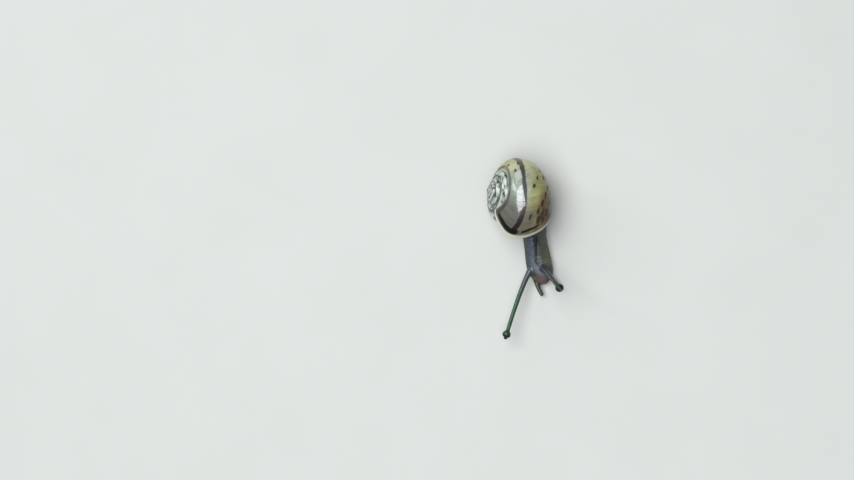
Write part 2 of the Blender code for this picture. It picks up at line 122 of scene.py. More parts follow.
def apply_modifier(obj, kind, **settings):
    modifier = obj.modifiers.new(kind.title(), kind)
    for name, value in settings.items():
        setattr(modifier, name, value)
    only(obj)
    bpy.ops.object.modifier_apply(modifier=modifier.name)


def smooth_step(value):
    value = np.clip(value, 0.0, 1.0)
    return value * value * (3.0 - 2.0 * value)


def points_of(obj):
    points = np.empty(len(obj.data.vertices) * 3)
    obj.data.vertices.foreach_get("co", points)
    return points.reshape(-1, 3)


def normals_of(obj):
    normals = np.empty(len(obj.data.vertices) * 3)
    obj.data.vertices.foreach_get("normal", normals)
    return normals.reshape(-1, 3)


def set_points(obj, points):
    obj.data.vertices.foreach_set("co", np.asarray(points, float).ravel())
    obj.data.update()


def set_attribute(obj, name, values):
    attribute = obj.data.attributes.new(name, "FLOAT", "POINT")
    attribute.data.foreach_set("value", np.asarray(values, np.float32))


# ---------------------------------------------------------------- shader helpers


def new_material(name):
    material = bpy.data.materials.new(name)
    material.use_nodes = True
    return material, material.node_tree, material.node_tree.nodes["Principled BSDF"]


def feed(tree, node, inputs):
    """Sets a node's inputs: a socket is linked, anything else is a plain value."""
    for name, value in inputs.items():
        if isinstance(value, bpy.types.NodeSocket):
            tree.links.new(value, node.inputs[name])
        else:
            node.inputs[name].default_value = value


def add_node(tree, kind, inputs, **settings):
    node = tree.nodes.new("ShaderNode" + kind)
    for name, value in settings.items():
        setattr(node, name, value)
    feed(tree, node, inputs)
    return node


def maths(tree, operation, first, second=0.0, third=0.0):
    inputs = {0: first, 1: second, 2: third}
    return add_node(tree, "Math", inputs, operation=operation).outputs[0]


def product(tree, first, *others):
    """Multiplies values, sockets or numbers."""
    for other in others:
        first = maths(tree, "MULTIPLY", first, other)
    return first


def ramp(tree, value, low, high, from_value=0.0, to_value=1.0):
    """Runs smoothly from one value to another as the input goes from low to high."""
    inputs = {
        "Value": value, "From Min": low, "From Max": high,
        "To Min": from_value, "To Max": to_value,
    }
    return add_node(tree, "MapRange", inputs, interpolation_type="SMOOTHSTEP").outputs[0]


def blend(tree, share, first, second, how="MIX"):
    """Mixes two colours by a share between 0 and 1."""
    node = tree.nodes.new("ShaderNodeMix")
    node.data_type = "RGBA"
    node.blend_type = how
    feed(tree, node, {0: share, 6: first, 7: second})
    return node.outputs[2]


def noise_value(tree, place, scale, detail=3.0, roughness=0.55, distortion=0.0):
    inputs = {
        "Vector": place, "Scale": scale, "Detail": detail,
        "Roughness": roughness, "Distortion": distortion,
    }
    return add_node(tree, "TexNoise", inputs).outputs["Fac"]


def object_place(tree):
    return add_node(tree, "TexCoord", {}).outputs["Object"]


def grey(tree, tone):
    return add_node(tree, "CombineColor", {"Red": tone, "Green": tone, "Blue": tone}).outputs[0]


def attribute(tree, name):
    node = tree.nodes.new("ShaderNodeAttribute")
    node.attribute_name = name
    return node.outputs["Fac"]


def bump(tree, height, strength, distance):
    inputs = {"Height": height, "Strength": strength, "Distance": distance}
    return add_node(tree, "Bump", inputs).outputs["Normal"]


def new_group(name, inputs, outputs):
    """A shader node group with named inputs and outputs, both as {name: kind}."""
    group = bpy.data.node_groups.new(name, "ShaderNodeTree")
    for label, kind in inputs.items():
        group.interface.new_socket(label, in_out="INPUT", socket_type="NodeSocket" + kind)
    for label, kind in outputs.items():
        group.interface.new_socket(label, in_out="OUTPUT", socket_type="NodeSocket" + kind)
    start = group.nodes.new("NodeGroupInput")
    end = group.nodes.new("NodeGroupOutput")
    return group, start.outputs, end.inputs


def use_group(tree, group, inputs):
    node = tree.nodes.new("ShaderNodeGroup")
    node.node_tree = group
    feed(tree, node, inputs)
    return node.outputs


# ---------------------------------------------------------------- shell shape


def shell_axes():
    """The shell's axis towards the apex, the direction of the lip, and the third."""
    level = math.cos(AXIS_RISE)
    axis = Vector(
        (-level * math.cos(AXIS_SWEEP), level * math.sin(AXIS_SWEEP), math.sin(AXIS_RISE))
    )
    forward = Vector((0.0, -1.0, 0.0))
    forward = (forward - axis * forward.dot(axis)).normalized()
    side = axis.cross(forward)
    towards_lip = forward * math.cos(LIP_TURN) + side * math.sin(LIP_TURN)
    return np.array(axis), np.array(towards_lip), np.array(axis.cross(towards_lip))


AXIS, LIP_WAY, SIDE_WAY = shell_axes()


def whorl_section(around):
    """Distance from the axis and height along it, as ratios, at an angle."""
    sine = np.sin(around)
    wide = SECTION_HALF_WIDTH * np.cos(around)
    high = np.where(sine > 0, SECTION_HALF_ABOVE, SECTION_HALF_BELOW) * sine
    out = SECTION_OFFSET + wide * math.cos(SECTION_LEAN) - high * math.sin(SECTION_LEAN)
    up = wide * math.sin(SECTION_LEAN) + high * math.cos(SECTION_LEAN) - SECTION_DROP
    return out, up


def spiral_point(growth, out, up):
    """A point of the spiral: growth is an angle, 0 at the lip and negative before."""
    size = WHORL_RADIUS * WHORL_GROWTH ** (growth / TURN)
    ray = np.cos(growth)[:, None] * LIP_WAY - np.sin(growth)[:, None] * SIDE_WAY
    return np.array(APEX) + (ray * out[:, None] + AXIS * up[:, None]) * size[:, None]


def lip_share(growth):
    return smooth_step(1.0 + growth / LIP_REACH)


def lip_lag(growth, around):
    """How far a point lags behind its row: the base slants back, the middle leads."""
    slant = np.maximum((SUTURE_ANGLE - around) / (SUTURE_ANGLE - BASE_ANGLE), 0.0)
    bulge = np.sin(math.pi * np.minimum((TOP_ANGLE - around) / (TOP_ANGLE - BASE_ANGLE), 1.0))
    return LIP_SLANT * slant - LIP_BULGE * bulge * lip_share(growth)


def climb_shift(growth):
    """How far the whorl's upper edge moves as it climbs the turn before."""
    climbed = SUTURE_ANGLE + LIP_CLIMB * lip_share(growth)
    before = spiral_point(growth - TURN, *whorl_section(climbed))
    top = np.full_like(growth, TOP_ANGLE)
    return before - spiral_point(growth, *whorl_section(top))


def whorl_point(growth, around):
    out, up = whorl_section(around)
    free = smooth_step((TOP_ANGLE - around) / CLIMB_SPREAD)
    flare = LIP_FLARE * free * smooth_step(1.0 + growth / FLARE_REACH)
    out = out + (out - SECTION_OFFSET) * flare
    up = up + (up + SECTION_DROP) * flare
    hold = smooth_step((around - TOP_ANGLE + CLIMB_SPREAD) / CLIMB_SPREAD)
    lagging = growth - lip_lag(growth, around)
    return spiral_point(lagging, out, up) + climb_shift(growth) * hold[:, None]


def wall_point(growth, across):
    """A point of the shell's wall from the growth and the share from suture to navel."""
    around = TOP_ANGLE + (BASE_ANGLE - TOP_ANGLE) * np.minimum(across / NAVEL_SHARE, 1.0)
    wall = whorl_point(growth, around)
    none = np.zeros_like(growth)
    navel = spiral_point(growth - lip_lag(growth, around), none, none - NAVEL_DROP)
    inward = np.maximum(across - NAVEL_SHARE, 0.0) / (1.0 - NAVEL_SHARE)
    wall = wall + (navel - wall) * inward[:, None]
    first = np.full(1, -TURN * (WHORL_TURNS - NUCLEUS_TURNS))
    nucleus = spiral_point(first, np.zeros(1), np.full(1, -NUCLEUS_DROP))
    grown = smooth_step((growth + TURN * WHORL_TURNS) / (TURN * NUCLEUS_TURNS))
    return nucleus + (wall - nucleus) * (0.02 + 0.98 * grown)[:, None]


def ridge_depth(growth, across):
    """How deep the wall lies between its growth ridges, from 0 to 1."""
    lag = 0.16 * np.sin(math.pi * across)
    values = []
    for angle, share in zip(growth - lag, across):
        broad = noise.noise((angle * 7.0, share * 1.2, 3.0))
        fine = noise.noise((angle * 24.0, share * 2.0, 7.0))
        values.append(0.5 + 0.55 * broad + 0.5 * fine)
    return np.clip(np.array(values), 0.0, 1.0)


def build_shell():
    """A sheet with a square for each step of growth, rolled up into the spiral."""
    bpy.ops.mesh.primitive_grid_add(
        x_subdivisions=SHELL_ROWS, y_subdivisions=SHELL_COLUMNS, size=1.0
    )
    shell = bpy.context.active_object
    shell.name = "shell_wall"
    flat = points_of(shell)
    back = 0.5 - flat[:, 0]
    across = flat[:, 1] + 0.5
    growth = -TURN * (FINE_TURNS * back + (WHORL_TURNS - FINE_TURNS) * back**3)
    set_points(shell, wall_point(growth, across))
    size = WHORL_GROWTH ** (growth / TURN)
    depth = RIDGE_DEPTH * size * ridge_depth(growth, across)
    set_points(shell, points_of(shell) - normals_of(shell) * depth[:, None])
    corners = np.empty(len(shell.data.loops), np.int32)
    shell.data.loops.foreach_get("vertex_index", corners)
    along = 1.0 + growth / (TURN * WHORL_TURNS)
    wall_map = np.stack([along[corners], across[corners]], axis=1)
    shell.data.uv_layers.active.data.foreach_set("uv", wall_map.ravel())
    apply_modifier(shell, "SOLIDIFY", thickness=WALL, offset=-1.0, use_even_offset=True)
    apply_modifier(
        shell, "BEVEL", width=RIM_ROUNDING, segments=2, limit_method="ANGLE",
        angle_limit=math.radians(60),
    )
    bpy.ops.object.shade_smooth_by_angle(angle=math.radians(60))
    return shell


# ---------------------------------------------------------------- camera, floor, light


def build_camera():
    bpy.ops.object.camera_add()
    camera = bpy.context.active_object
    camera.name = "camera"
    turn = (
        Matrix.Rotation(VIEW_TILT, 4, "Y")
        @ Matrix.Rotation(VIEW_LEAN, 4, "X")
        @ Matrix.Rotation(-VIEW_ROLL, 4, "Z")
    )
    place = Matrix.Translation(MIDDLE + VIEW_AIM) @ turn
    camera.matrix_world = place @ Matrix.Translation((0.0, 0.0, VIEW_DISTANCE))
    camera.data.lens = VIEW_LENS
    camera.data.clip_start = 1 * MM
    bpy.context.scene.camera = camera


FLOOR_DARK = (0.35, 0.352, 0.34, 1.0)
FLOOR_PALE = (0.375, 0.378, 0.366, 1.0)
ROOM_COLOUR = (0.94, 0.98, 0.96, 1.0)


def build_floor():
    bpy.ops.mesh.primitive_plane_add(size=4.0, location=(0.0, 0.0, -0.01 * MM))
    floor = bpy.context.active_object
    floor.name = "floor"
    material, tree, shader = new_material("pale_floor")
    tone = noise_value(tree, object_place(tree), 60.0)
    feed(tree, shader, {
        "Base Color": blend(tree, tone, FLOOR_DARK, FLOOR_PALE),
        "Roughness": 0.7,
    })
    floor.data.materials.append(material)


# Soft boxes: name, way from the snail, size in metres, power in watts, and colour.
LIGHT_DISTANCE = 0.45
LIGHTS = (
    ("sky_above", (-0.1, -0.03, 1.0), (0.54, 0.34), 4.3, (0.96, 0.99, 1.0)),
    ("sky_back", (-0.27, 0.83, 0.47), (0.3, 0.2), 0.45, (0.93, 0.98, 1.0)),
    ("sky_side", (-0.68, 0.45, 0.42), (0.06, 0.3), 0.35, (0.93, 0.98, 1.0)),
)


def build_light(name, way, size, power, colour):
    """A soft box in one direction from the snail's middle, facing it."""
    way = Vector(way).normalized()
    bpy.ops.object.light_add(type="AREA", location=MIDDLE + way * LIGHT_DISTANCE)
    lamp = bpy.context.active_object
    lamp.name = name
    lamp.rotation_euler = way.to_track_quat("Z", "Y").to_euler()
    lamp.data.shape = "RECTANGLE"
    lamp.data.size = size[0]
    lamp.data.size_y = size[1]
    lamp.data.energy = power
    lamp.data.color = colour


def build_world():
    world = bpy.data.worlds.new("soft_room")
    world.use_nodes = True
    background = world.node_tree.nodes["Background"]
    background.inputs["Color"].default_value = ROOM_COLOUR
    background.inputs["Strength"].default_value = 0.25
    bpy.context.scene.world = world
    bpy.context.scene.view_settings.view_transform = "Standard"


# ---------------------------------------------------------------- shell finish


# Its pattern is laid out on the wall itself: degrees of growth before the lip, and the
# share across the whorl from the suture, 0, to the navel, 1.
KHAKI = (0.375, 0.35, 0.17, 1.0)
OLIVE = (0.165, 0.168, 0.048, 1.0)
TAUPE = (0.066, 0.066, 0.064, 1.0)
# Painted pale sky reflection on the shoulder above the band.
SHOULDER_PAINTED_SHEEN = (0.17, 0.2, 0.175, 1.0)
# Painted pale sky reflection beside the band.
PAINTED_SHEEN_BESIDE_BAND = (0.24, 0.26, 0.21, 1.0)
LILAC_GREY = (0.085, 0.07, 0.062, 1.0)
LIP_BROWN = (0.08, 0.032, 0.004, 1.0)
# Painted pale sky reflection on the early whorls.
SPIRE_PAINTED_SHEEN = (0.31, 0.345, 0.31, 1.0)
# Dark of the spire's marks, also used for painted shade along the sutures.
SPIRE_DARK = (0.012, 0.016, 0.012, 1.0)
BAND_BROWN = (0.018, 0.012, 0.005, 1.0)
BAND_DARK = (0.004, 0.003, 0.003, 1.0)
# Painted plum sky reflection on the middle of the band.
BAND_PAINTED_PLUM_SHEEN = (0.03, 0.026, 0.045, 1.0)
FLECK_BROWN = (0.012, 0.009, 0.002, 1.0)
MARK_BLACK = (0.0015, 0.0015, 0.001, 1.0)
RIM_CREAM = (0.45, 0.455, 0.34, 1.0)
# Painted highlight along the suture's edge.
SUTURE_PAINTED_HIGHLIGHT = (0.26, 0.29, 0.24, 1.0)

# Stripes along the whorl: share across, half width and soft edge.
# Painted shade in the groove below the suture.
SUTURE_PAINTED_SHADE = (0.05, 0.028, 0.016)
# Where a painted sky reflection lies beside the band.
PAINTED_SHEEN_STRIPE = (0.33, 0.05, 0.045)
LILAC_STRIPE = (0.365, 0.085, 0.04)
MARK_GAP = (0.335, 0.016, 0.012)

# The dark band: the share across at which it runs on the back and near the lip, and
# how far it turns up in the last degrees.
BAND_ON_BACK = 0.257
BAND_NEAR_LIP = 0.293
BAND_TURN_UP = 0.016
BAND_HALF_WIDTH = 0.015
BAND_EDGE = 0.008

# The dark mark along the lip, in degrees before it: nearest where the band meets it,
# thick above that share and thin below it.
MARK_MEETS_BAND = 0.28
MARK_NEAREST = 10.8
MARK_FARTHEST = 15.0
MARK_THICK = 4.6
MARK_THIN = 2.2
RIM_WIDTH = (4.2, 7.0)  # the pale rim is whole up to the first and gone at the second

# Dark flecks of the mantle that show through the wall: degrees before the lip, share
# across, length in degrees and width as a share.
MANTLE_SPOTS = (
    (132, 0.10, 5.0, 0.018), (108, 0.16, 5.0, 0.018), (120, 0.22, 4.0, 0.012),
    (82, 0.425, 4.0, 0.016), (85, 0.53, 5.5, 0.02), (71, 0.374, 4.5, 0.017),
    (65, 0.583, 5.0, 0.022), (53, 0.535, 8.0, 0.018), (41, 0.62, 5.0, 0.024),
    (44, 0.505, 5.0, 0.018), (36, 0.46, 5.5, 0.017), (28, 0.575, 8.0, 0.034),
    (33, 0.385, 6.0, 0.013), (100, 0.5, 4.0, 0.013), (57, 0.655, 6.0, 0.026),
    (24, 0.49, 6.5, 0.022), (30, 0.52, 6.0, 0.014), (20, 0.545, 5.0, 0.02),
    (18, 0.62, 6.0, 0.03), (76, 0.66, 7.0, 0.022), (96, 0.6, 5.0, 0.016),
    (45, 0.72, 7.0, 0.02), (112, 0.7, 6.0, 0.02), (140, 0.55, 5.0, 0.018),
    (165, 0.45, 6.0, 0.02), (190, 0.6, 6.0, 0.022), (215, 0.4, 6.0, 0.018),
)


def build_spot_group():
    """How much of a fleck's colour shows at a place on the wall."""
    group, start, end = new_group(
        "mantle_fleck",
        {"Before Lip": "Float", "Across": "Float", "Fray": "Float", "Place": "Vector",
         "Length": "Float", "Width": "Float"},
        {"Mask": "Float"},
    )
    place = add_node(group, "SeparateXYZ", {"Vector": start["Place"]}).outputs
    along = maths(group, "SUBTRACT", start["Before Lip"], place["X"])
    across = maths(group, "SUBTRACT", start["Across"], place["Y"])
    along = maths(group, "DIVIDE", along, start["Length"])
    across = maths(group, "DIVIDE", across, start["Width"])
    square = maths(group, "MULTIPLY", along, along)
    reach = maths(group, "MULTIPLY_ADD", across, across, square)
    frayed = maths(group, "ADD", maths(group, "SQRT", reach), start["Fray"])
    group.links.new(ramp(group, frayed, 0.35, 1.25, 1.0, 0.0), end["Mask"])
    return group


def wall_place(tree):
    """Degrees of growth before the lip, and the share across the whorl."""
    places = add_node(tree, "UVMap", {}).outputs["UV"]
    split = add_node(tree, "SeparateXYZ", {"Vector": places}).outputs
    before = maths(tree, "SUBTRACT", 1.0, split["X"])
    return maths(tree, "MULTIPLY", before, 360.0 * WHORL_TURNS), split["Y"]


def stripe(tree, across, centre, half_width, edge):
    """A band of the wall about a centre, with soft edges."""
    away = maths(tree, "ABSOLUTE", maths(tree, "SUBTRACT", across, centre))
    low = maths(tree, "SUBTRACT", half_width, edge)
    high = maths(tree, "ADD", half_width, edge)
    return ramp(tree, away, low, high, 1.0, 0.0)


def ground_colour(tree, before, across, broad, cloud):
    """Khaki on the back, grey-brown above the band near the lip with a painted sky reflection farther
    back, a painted reflection beside the band, and brown and lilac towards the lip.
    """
    colour = blend(tree, ramp(tree, broad, 0.4, 0.68), KHAKI, OLIVE)
    young = ramp(tree, before, 55.0, 130.0, 0.6, 0.0)
    colour = blend(tree, young, colour, OLIVE)
    base = product(tree, ramp(tree, across, 0.42, 0.6), ramp(tree, before, 60.0, 150.0, 0.75, 0.35))
    colour = blend(tree, base, colour, OLIVE)

    # Above the band the wall is grey-brown near the lip and carries a painted sky reflection farther
    # back.
    above_band = ramp(tree, across, 0.26, 0.34, 1.0, 0.0)
    greyed = product(tree, above_band, ramp(tree, before, 78.0, 150.0, 0.92, 0.2))
    taupe_then_painted_sheen = blend(tree, ramp(tree, before, 42.0, 72.0), TAUPE, SHOULDER_PAINTED_SHEEN)
    colour = blend(tree, greyed, colour, taupe_then_painted_sheen)
    # A painted sky reflection runs just beside the band, some way back from the lip.
    painted_sheen = product(
        tree, stripe(tree, across, *PAINTED_SHEEN_STRIPE),
        ramp(tree, before, 35.0, 60.0, 0.0, 0.6), ramp(tree, before, 95.0, 125.0, 1.0, 0.0),
    )
    colour = blend(tree, painted_sheen, colour, PAINTED_SHEEN_BESIDE_BAND)

    lilac = product(tree, stripe(tree, across, *LILAC_STRIPE), ramp(tree, before, 30.0, 60.0, 0.9, 0.0))
    colour = blend(tree, lilac, colour, LILAC_GREY)
    brown = product(
        tree, ramp(tree, across, 0.42, 0.5),
        ramp(tree, before, 40.0, 78.0, 0.95, 0.0), ramp(tree, cloud, 0.32, 0.5, 0.5, 1.0),
    )
    return blend(tree, brown, colour, LIP_BROWN)


def add_spire(tree, colour, before, across, spiral_marks):
    """A painted pale sky reflection with dark marks on the early whorls, and painted shade at the foot
    of each.
    """
    # A painted sky reflection on the early whorls, broken by their real dark marks.
    painted_sheen_with_marks = blend(tree, ramp(tree, spiral_marks, 0.45, 0.62), SPIRE_PAINTED_SHEEN, SPIRE_DARK)
    colour = blend(tree, ramp(tree, before, 200.0, 300.0), colour, painted_sheen_with_marks)
    # Painted shade on each early whorl just above the suture, where the next turn overlaps it.
    foot = product(tree, ramp(tree, across, 0.17, 0.215, 0.0, 0.85), ramp(tree, before, 330.0, 385.0))
    return blend(tree, foot, colour, SPIRE_DARK)


def fleck_mask(tree, before, across, cloud, grain):
    """Where the mantle's dark flecks show, with frayed outlines."""
    fray = maths(tree, "MULTIPLY_ADD", cloud, 3.0, -1.6)
    fray = maths(tree, "MULTIPLY_ADD", grain, 2.4, fray)
    spots = build_spot_group()
    flecks = None
    for back, share, length, width in MANTLE_SPOTS:
        values = {
            "Before Lip": before, "Across": across, "Fray": fray,
            "Place": (back, share, 0.0), "Length": length, "Width": width,
        }
        mask = use_group(tree, spots, values)["Mask"]
        flecks = mask if flecks is None else maths(tree, "MAXIMUM", flecks, mask)
    return flecks


def add_band(tree, colour, before, across, broad, grain):
    """The dark band: brown on the back, a painted plum sky reflection in its middle, and black at the
    lip.
    """
    centre = ramp(tree, before, 40.0, 90.0, BAND_NEAR_LIP, BAND_ON_BACK)
    centre = maths(tree, "SUBTRACT", centre, ramp(tree, before, 12.0, 32.0, BAND_TURN_UP, 0.0))
    centre = maths(tree, "MULTIPLY_ADD", grain, 0.03, centre)
    width = maths(tree, "MULTIPLY_ADD", broad, 0.016, BAND_HALF_WIDTH)
    width = maths(tree, "ADD", width, ramp(tree, before, 25.0, 60.0, 0.003, 0.0))
    width = maths(tree, "ADD", width, ramp(tree, before, 90.0, 112.0, 0.0, 0.011))
    # Black near the lip, then a painted plum sky reflection, then brown farther back.
    tint = blend(tree, ramp(tree, before, 20.0, 55.0), BAND_DARK, BAND_PAINTED_PLUM_SHEEN)
    tint = blend(tree, ramp(tree, before, 85.0, 115.0), tint, BAND_BROWN)
    band = product(
        tree, stripe(tree, across, centre, width, BAND_EDGE),
        ramp(tree, before, 230.0, 330.0, 0.95, 0.35),
    )
    return blend(tree, band, colour, tint)


def lip_mark(tree, before, across, grain):
    """The dark mark along the lip, with a gap just below the band."""
    from_band = maths(tree, "ABSOLUTE", maths(tree, "SUBTRACT", across, MARK_MEETS_BAND))
    line = ramp(tree, from_band, 0.0, 0.25, MARK_NEAREST, MARK_FARTHEST)
    width = ramp(tree, across, 0.27, 0.34, MARK_THICK, MARK_THIN)
    away = maths(tree, "ABSOLUTE", maths(tree, "SUBTRACT", before, line))
    away = maths(tree, "DIVIDE", maths(tree, "MULTIPLY_ADD", grain, 2.0, away), width)
    gap = stripe(tree, across, *MARK_GAP)
    return product(
        tree, ramp(tree, away, 0.7, 1.2, 1.0, 0.0),
        ramp(tree, across, 0.48, 0.54, 1.0, 0.0), ramp(tree, across, 0.05, 0.09),
        maths(tree, "MULTIPLY_ADD", gap, -0.75, 1.0),
    )


def build_shell_material():
    material, tree, shader = new_material("glossy_shell")
    place = object_place(tree)
    before, across = wall_place(tree)
    broad = noise_value(tree, place, 260.0, 4.0)
    cloud = noise_value(tree, place, 620.0, 4.0, 0.6)
    fine = noise_value(tree, place, 1500.0, 4.0, 0.6)
    grain = maths(tree, "SUBTRACT", fine, 0.5)
    wall = add_node(tree, "CombineXYZ", {"X": before, "Y": across, "Z": 0.0}).outputs[0]
    growth_place = add_node(tree, "Mapping", {"Vector": wall, "Scale": (0.5, 3.0, 1.0)}).outputs[0]
    growth_lines = noise_value(tree, growth_place, 1.0, 5.0, 0.65, 0.3)
    spiral_place = add_node(tree, "Mapping", {"Vector": wall, "Scale": (0.035, 7.0, 1.0)}).outputs[0]
    spiral_marks = noise_value(tree, spiral_place, 1.0, 5.0, 0.62, 0.5)

    colour = ground_colour(tree, before, across, broad, cloud)
    colour = add_spire(tree, colour, before, across, spiral_marks)
    lines = maths(tree, "MULTIPLY_ADD", growth_lines, 1.3, 0.35)
    streaks = maths(tree, "MULTIPLY_ADD", cloud, 0.6, 0.7)
    colour = blend(tree, 1.0, colour, grey(tree, product(tree, lines, streaks)), "MULTIPLY")

    flecks = fleck_mask(tree, before, across, cloud, grain)
    colour = blend(tree, product(tree, flecks, 0.9), colour, FLECK_BROWN)
    colour = add_band(tree, colour, before, across, broad, grain)
    # A painted highlight runs along the very edge of the suture.
    suture_highlight = ramp(tree, across, 0.006, 0.014, 0.45, 0.0)
    colour = blend(tree, suture_highlight, colour, SUTURE_PAINTED_HIGHLIGHT)
    # Painted shade darkens the groove just below the suture.
    groove = stripe(tree, across, *SUTURE_PAINTED_SHADE)
    painted_groove_shade = product(tree, groove, ramp(tree, cloud, 0.35, 0.65, 0.9, 0.55))
    colour = blend(tree, painted_groove_shade, colour, SPIRE_DARK)
    mark = lip_mark(tree, before, across, grain)
    colour = blend(tree, mark, colour, MARK_BLACK)
    colour = blend(tree, ramp(tree, before, *RIM_WIDTH, 0.9, 0.0), colour, RIM_CREAM)

    # The gloss breaks at growth lines, and marks, grooves and the base stay duller.
    dark_marks = maths(tree, "MAXIMUM", mark, flecks)
    glaze = product(
        tree, ramp(tree, growth_lines, 0.38, 0.6, 1.0, 0.45),
        ramp(tree, across, 0.3, 0.5, 1.0, 0.3), ramp(tree, before, 18.0, 50.0, 0.4, 1.0),
        ramp(tree, dark_marks, 0.0, 1.0, 1.0, 0.0), ramp(tree, groove, 0.0, 1.0, 1.0, 0.3),
    )
    dullness = ramp(tree, cloud, 0.3, 0.7, 0.2, 0.34)
    height = maths(tree, "MULTIPLY_ADD", fine, 0.3, growth_lines)
    feed(tree, shader, {
        "Base Color": colour,
        "Roughness": maths(tree, "MULTIPLY_ADD", growth_lines, 0.12, dullness),
        "Normal": bump(tree, height, 0.8, 0.03 * MM),
        "Coat Weight": glaze,
        "Coat Roughness": 0.09,
        "Coat IOR": 1.8,
        "Specular IOR Level": 0.2,
    })
    return material


# ---------------------------------------------------------------- flesh


# Flesh is worked a thousand times life size, so its lengths and places are in
# millimetres.
BODY = ("foot", "neck", "head", "mouth", "tail")
COLLAR = ("mantle_collar",)
UPPER_FEELERS = ("upper_feeler_right", "upper_feeler_left")
LOWER_FEELERS = ("lower_feeler_right", "lower_feeler_left")
FLESH = BODY + COLLAR + UPPER_FEELERS + LOWER_FEELERS
VOXEL = 0.055
CLOSING = 0.07  # how far the flesh is grown and shrunk again, to close its cuts
SKIN_SHARE = 0.56  # of the skin's faces that are kept: most are lost on the flat sole
SKIN_SEED = 11

# Rounds of smoothing, for the masks and for the shape of the feelers.
MASK_ROUNDS = 10
TINT_ROUNDS = 40
ROOT_ROUNDS = 28
TIP_ROUNDS = 12

# Relief: the size of one tubercle on each axis, depths, and widths of grooves.
BACK_TUBERCLE = (0.22, 0.34, 0.22)
FINE_TUBERCLE = (0.14, 0.14, 0.14)
BACK_DEPTH = 0.022
FEELER_DEPTH = 0.01
COLLAR_DEPTH = 0.008
BACK_GROOVE = 0.24  # from the middle of the neck's stripe to the groove beside it
BACK_GROOVE_DEPTH = 0.03
BACK_GROOVE_WIDTH = 0.06
ROOT_FOLD_DEPTH = 0.02
FEELER_FILL = 0.012
KNOB_REACH = 0.85
SOCKET_REACH = 0.24
FRINGE_HEIGHT = 0.5
FRINGE_DEPTH = 0.035
FURROW_SPACING = 0.36
SOLE_EDGE = 0.12

# The edge of the mantle, laid along the lip behind the shell's mouth.
MANTLE_DEPTH = math.radians(9)  # growth behind the lip at which the mantle lies
MANTLE_THICKNESS = math.radians(5)
MANTLE_SWELL = math.radians(1.6)
MANTLE_ARC = 0.68  # share of the mantle's outline that follows the lip
MANTLE_START = 0.01  # shares across the wall at which it leaves and meets the lip
MANTLE_END = 0.92

MOUTH_HEIGHT = 0.86
MOUTH_HALF_WIDTH = 0.55
MOUTH_DROOP = 0.12
MOUTH_DEPTH = 0.17
SLIT_WIDTH = 0.07
CLEFT_WIDTH = 0.06
CLEFT_TOP = 1.4
LIPS_HALF_WIDTH = 0.68
LIPS_HALF_HEIGHT = 0.42
LIPS_EDGE = 0.14

NECK_START = 2.2  # forward of this y the flesh turns to the neck's colours
NECK_FADE = 1.5

# The dark stripe along the back, from the shell to the left upper feeler: x and y from
# the middle of the neck.
STRIPE_PATH = (
    (0.38, 1.6), (0.2, 0.4), (-0.02, -0.75), (-0.1, -1.4), (0.2, -1.85),
    (0.85, -2.6), (1.6, -3.6),
)


def merged_copy(node):
    """A free copy of a solid, with its doubled corners merged."""
    copy = node.copy()
    copy.data = node.data.copy()
    copy.parent = None
    copy.matrix_world = Matrix.Identity(4)
    for key in list(copy.keys()):
        del copy[key]
    bpy.context.scene.collection.objects.link(copy)
    shape = bmesh.new()
    shape.from_mesh(copy.data)
    bmesh.ops.remove_doubles(shape, verts=shape.verts, dist=1e-7)
    shape.to_mesh(copy.data)
    shape.free()
    return copy


def joined_copy(names):
    """Some flesh pieces as one object, in millimetres."""
    pieces = [merged_copy(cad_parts[name]) for name in names]
    only(*pieces)
    if len(pieces) > 1:
        bpy.ops.object.join()
    set_points(pieces[0], points_of(pieces[0]) / MM)
    return pieces[0]


def gap_to(points, names):
    """The distance of each point from the surface of some flesh pieces."""
    piece = joined_copy(names)
    tree = BVHTree.FromObject(piece, bpy.context.evaluated_depsgraph_get())
    gaps = np.array([tree.find_nearest(point)[3] for point in points])
    bpy.data.objects.remove(piece)
    return gaps


def edges_of(obj):
    ends = np.empty(len(obj.data.edges) * 2, np.int32)
    obj.data.edges.foreach_get("vertices", ends)
    return ends.reshape(-1, 2)


def soften(values, ends, rounds):
    """Averages a value with its neighbours', so that it fades over the surface."""
    values = np.asarray(values, float)
    count = np.bincount(ends.ravel(), minlength=len(values))
    for _ in range(rounds):
        total = np.bincount(ends[:, 0], values[ends[:, 1]], len(values))
        total = total + np.bincount(ends[:, 1], values[ends[:, 0]], len(values))
        values = 0.5 * values + 0.5 * total / np.maximum(count, 1)
    return values


def tubercles(points, size, shuffle):
    """How far each point stands out on its tubercle, 0 to 1, and the tubercle's tone."""
    scaled = points / np.array(size)
    order = shuffle.permutation(len(points))
    cells = np.floor(scaled[order] * 0.9).astype(int)
    _, first = np.unique(cells, axis=0, return_index=True)
    seeds = scaled[order[first]]
    tree = KDTree(len(seeds))
    for index, seed in enumerate(seeds):
        tree.insert(seed, index)
    tree.balance()
    tones = shuffle.random(len(seeds))
    height = np.empty(len(points))
    tone = np.empty(len(points))
    for index, place in enumerate(scaled):
        (_, own, near), (_, _, next_near) = tree.find_n(place, 2)
        height[index] = next_near - near
        tone[index] = tones[own]
    return smooth_step(height / 0.42), tone


def line_dip(away, width):
    """1 along a line and 0 beside it."""
    return np.exp(-((away / width) ** 2))


def stripe_offset(points):
    """How far to the snail's left of the stripe's line each point lies."""
    low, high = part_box("neck")
    middle = np.array(Vector(low) + Vector(high)) / 2 / MM
    path = np.array(STRIPE_PATH) + middle[:2]
    return points[:, 0] - np.interp(-points[:, 1], -path[:, 1], path[:, 0])


